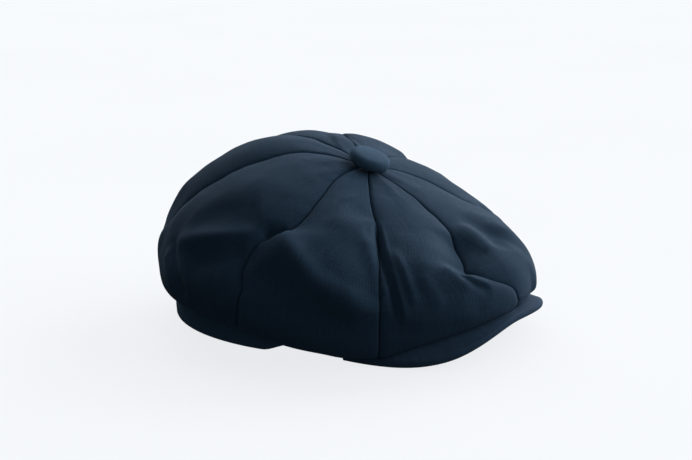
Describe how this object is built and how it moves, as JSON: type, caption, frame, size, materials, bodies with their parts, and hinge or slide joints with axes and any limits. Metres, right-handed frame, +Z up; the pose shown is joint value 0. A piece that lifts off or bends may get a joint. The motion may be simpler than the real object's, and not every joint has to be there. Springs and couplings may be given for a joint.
{
  "type": "newsboy cap",
  "caption": "Soft cloth cap with a full paneled crown that puffs over a head band, droops forward onto a short stiff peak and gathers under a covered top button.",
  "frame": {"origin": "under the middle of the cap's bounding box, on the surface the cap lies on", "axes": "+Z up, -Y towards the front edge of the peak, +X towards the wearer's left"},
  "size_m": [0.244, 0.2531, 0.1183],
  "materials": {
    "crown_cloth": "matte woven cotton, very dark navy",
    "lining_cloth": "smooth thin lining, near black",
    "sweatband_cloth": "folded cotton twill, dark navy",
    "stay_cloth": "stiff white interlining",
    "label_cloth": "blank woven label",
    "thread": "dark navy sewing thread",
    "peak_board": "flexible sheet plastic",
    "button_metal": "pressed sheet and wire"
  },
  "bodies": {
    "root": {"crown_panel_front_right": "crown_cloth", "crown_panel_mid_front_right": "crown_cloth", "crown_panel_mid_back_right": "crown_cloth", "crown_panel_back_right": "crown_cloth", "crown_panel_back_left": "crown_cloth", "crown_panel_mid_back_left": "crown_cloth", "crown_panel_mid_front_left": "crown_cloth", "crown_panel_front_left": "crown_cloth", "lining_panel_front_right": "lining_cloth", "lining_panel_mid_front_right": "lining_cloth", "lining_panel_mid_back_right": "lining_cloth", "lining_panel_back_right": "lining_cloth", "lining_panel_back_left": "lining_cloth", "lining_panel_mid_back_left": "lining_cloth", "lining_panel_mid_front_left": "lining_cloth", "lining_panel_front_left": "lining_cloth", "outer_band": "crown_cloth", "band_stay": "stay_cloth", "sweatband": "sweatband_cloth", "sweatband_stitches": "thread", "size_label": "label_cloth", "care_label": "label_cloth", "lining_label": "label_cloth", "peak_top_cover": "crown_cloth", "peak_board": "peak_board", "peak_under_cover": "crown_cloth", "peak_tacks": "thread", "button_cover": "crown_cloth", "button_shell": "button_metal", "button_back": "button_metal", "button_shank": "button_metal", "button_thread": "thread", "apex_stay": "stay_cloth"}
  },
  "joints": []
}
